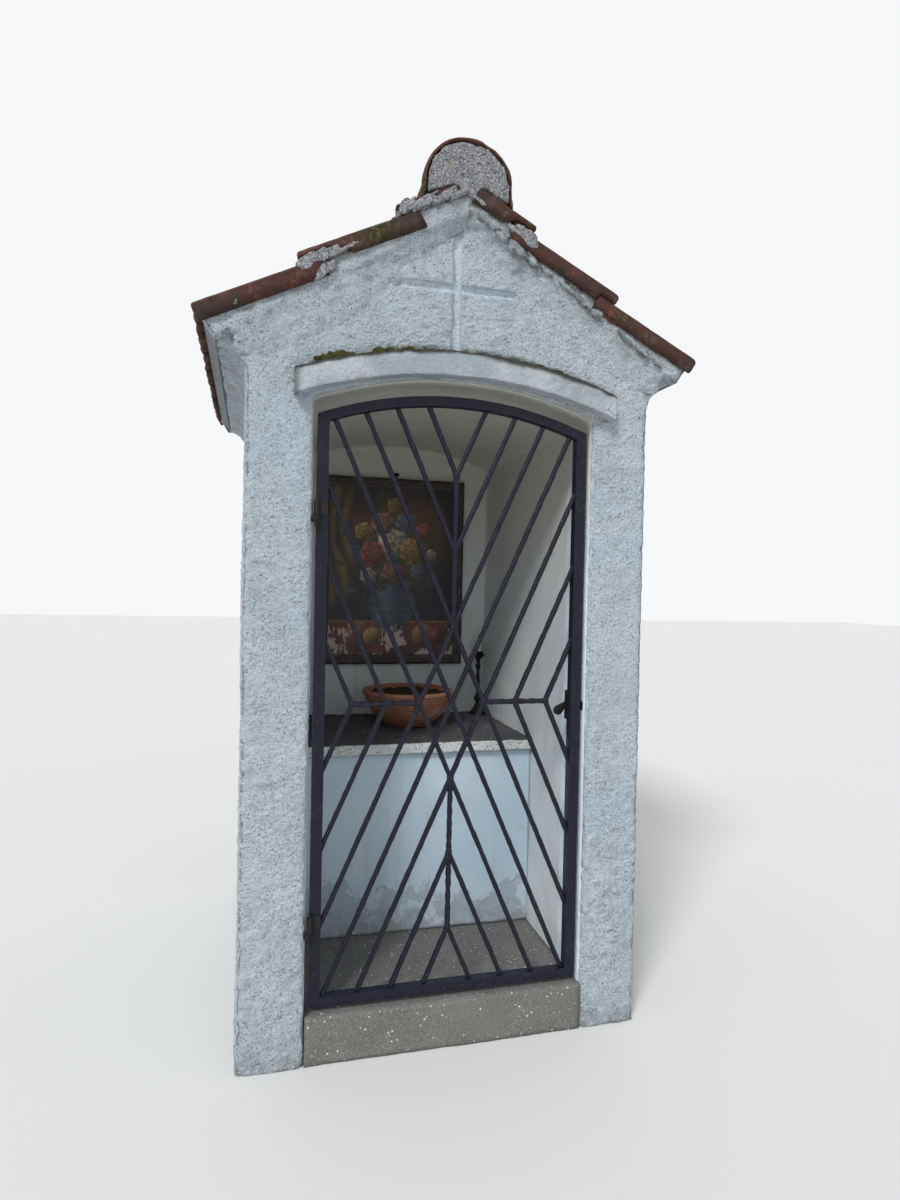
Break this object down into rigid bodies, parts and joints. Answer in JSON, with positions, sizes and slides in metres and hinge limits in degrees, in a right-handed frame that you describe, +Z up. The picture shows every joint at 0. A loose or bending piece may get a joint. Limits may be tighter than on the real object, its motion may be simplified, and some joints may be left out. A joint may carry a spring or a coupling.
{
  "type": "wayside shrine",
  "caption": "Small roadside shrine of whitewashed masonry: vaulted niche with altar, tiled gable roof and a hinged iron lattice gate.",
  "frame": {"origin": "ground level, in the middle of the footprint, at the bottom centre of the bounding box", "axes": "+Z up; +Y from the open front to the back wall; +X to the right as seen from the front"},
  "size_m": [1.608, 1.452, 2.826],
  "materials": {
    "roughcast": "rough-cast lime render, whitewashed",
    "limewash": "smooth limewashed plaster",
    "concrete": "weathered concrete",
    "mortar": "rough grey mortar",
    "clay_tile": "weathered fired clay",
    "frame_wood": "dark stained",
    "painted_canvas": "flaking paint on board",
    "terracotta": "unglazed",
    "soil": "loose earth",
    "black_iron": "black, worn",
    "wax": "candle wax",
    "gate_paint": "satin paint over forged iron"
  },
  "bodies": {
    "masonry": {"floor_slab": "concrete", "left_wall": "roughcast", "right_wall": "roughcast", "back_wall": "limewash", "arch_lintel": "roughcast", "front_gable": "roughcast", "back_gable": "roughcast", "vault": "limewash", "left_cornice": "roughcast", "right_cornice": "roughcast", "hood_mould": "roughcast", "left_roof_bed": "mortar", "right_roof_bed": "mortar", "left_eaves_tiles": "clay_tile", "left_middle_tiles": "clay_tile", "left_upper_tiles": "clay_tile", "right_eaves_tiles": "clay_tile", "right_middle_tiles": "clay_tile", "right_upper_tiles": "clay_tile", "ridge_tile_1": "clay_tile", "ridge_tile_2": "clay_tile", "ridge_tile_3": "clay_tile", "ridge_tile_4": "clay_tile", "ridge_mortar": "mortar", "altar_block": "limewash", "altar_slab": "concrete", "painting_frame": "frame_wood", "painting_panel": "painted_canvas", "planter_bowl": "terracotta", "planter_soil": "soil", "left_candlestick": "black_iron", "right_candlestick": "black_iron", "left_candle": "wax", "right_candle": "wax", "upper_pintle": "black_iron", "lower_pintle": "black_iron", "lock_keeper": "black_iron"},
    "gate": {"hinge_stile": "gate_paint", "lock_stile": "gate_paint", "arched_head": "gate_paint", "bottom_rail": "gate_paint", "lattice": "gate_paint", "upper_hinge_eye": "gate_paint", "lower_hinge_eye": "gate_paint", "lock_case": "gate_paint", "latch_lever": "gate_paint", "latch_bolt": "gate_paint"}
  },
  "joints": [
    {"name": "gate_swing", "type": "hinge", "parent": "masonry", "child": "gate", "pos_m": [-0.438, -0.667, 0.907], "axis": [0, 0, -1], "range_deg": [0, 90]}
  ]
}
